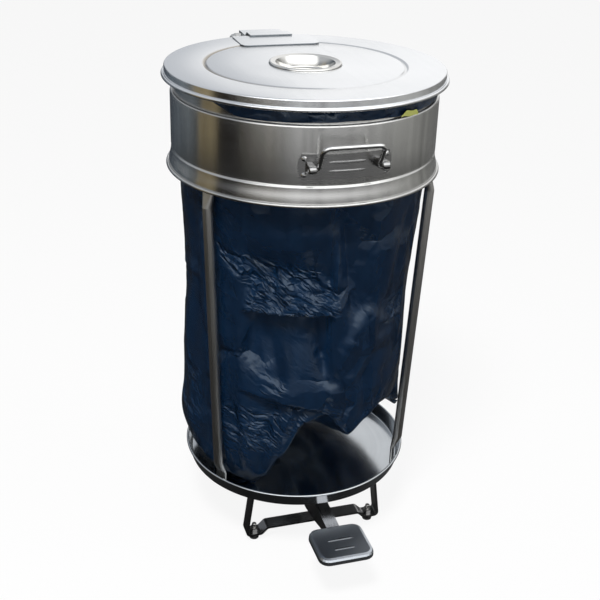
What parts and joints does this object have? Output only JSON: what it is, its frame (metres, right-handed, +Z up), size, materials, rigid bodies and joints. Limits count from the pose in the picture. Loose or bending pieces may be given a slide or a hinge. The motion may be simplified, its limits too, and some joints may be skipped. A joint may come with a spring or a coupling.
{
  "type": "waste sack holder",
  "caption": "Pedal-operated steel stand that holds an open refuse sack under a round hinged lid, with a drip tray, a carrying bail and rubber feet.",
  "frame": {"origin": "on the floor, at the middle of the part's bounding box", "axes": "+Z up, -Y towards the pedal and the carrying handle, +X to the right when facing the pedal from behind the stand's front"},
  "size_m": [0.4434, 0.586, 0.8003],
  "materials": {
    "brushed_steel": "brushed stainless steel",
    "bright_steel": "bright polished stainless steel",
    "zinc_steel": "zinc plated steel",
    "rubber": "matt black rubber",
    "sack_film": "glossy navy polythene film"
  },
  "bodies": {
    "frame": {"drum": "brushed_steel", "foot_bolt_front_left": "zinc_steel", "foot_bolt_front_right": "zinc_steel", "foot_bolt_rear_left": "zinc_steel", "foot_bolt_rear_right": "zinc_steel", "foot_nut_front_left": "zinc_steel", "foot_nut_front_right": "zinc_steel", "foot_nut_rear_left": "zinc_steel", "foot_nut_rear_right": "zinc_steel", "front_stand": "brushed_steel", "handle_eye_left": "brushed_steel", "handle_eye_right": "brushed_steel", "handle_plate": "brushed_steel", "handle_rivet_1": "bright_steel", "handle_rivet_2": "bright_steel", "handle_rivet_3": "bright_steel", "handle_rivet_4": "bright_steel", "hinge_bolt": "bright_steel", "hinge_bracket": "brushed_steel", "hinge_dome_nut": "bright_steel", "pedal_bracket": "brushed_steel", "pedal_pin": "zinc_steel", "rear_stand": "brushed_steel", "rubber_foot_front_left": "rubber", "rubber_foot_front_right": "rubber", "rubber_foot_rear_left": "rubber", "rubber_foot_rear_right": "rubber", "sack": "sack_film", "tray": "brushed_steel", "upright_left": "brushed_steel", "upright_rear": "brushed_steel", "upright_right": "brushed_steel"},
    "lid": {"lid": "brushed_steel", "grip_cup": "bright_steel", "lid_plate": "brushed_steel", "hinge_strap": "brushed_steel", "lift_lug": "brushed_steel"},
    "pedal": {"pedal_lever": "brushed_steel", "pedal_pad": "brushed_steel"},
    "rod": {"lift_rod": "bright_steel", "rod_pin_lower": "zinc_steel", "rod_pin_upper": "zinc_steel"},
    "bail": {"handle_bail": "bright_steel"}
  },
  "joints": [
    {"name": "lid_hinge", "type": "hinge", "parent": "frame", "child": "lid", "pos_m": [0, 0.28, 0.783], "axis": [-1, 0, 0], "range_deg": [0, 75]},
    {"name": "pedal_hinge", "type": "hinge", "parent": "frame", "child": "pedal", "pos_m": [0, 0.016, 0.062], "axis": [1, 0, 0], "range_deg": [0, 7.76]},
    {"name": "rod_slide", "type": "slide", "parent": "frame", "child": "rod", "axis": [0, 0, 1], "range_m": [0, 0.03292]},
    {"name": "bail_hinge", "type": "hinge", "parent": "frame", "child": "bail", "pos_m": [0, -0.202, 0.699], "axis": [1, 0, 0], "range_deg": [-27, 149]}
  ],
  "couplings": [
    {"joint": "pedal_hinge", "follows": "lid_hinge", "ratio": 0.10337},
    {"joint": "rod_slide", "follows": "lid_hinge", "m_per_rad": 0.025113}
  ]
}
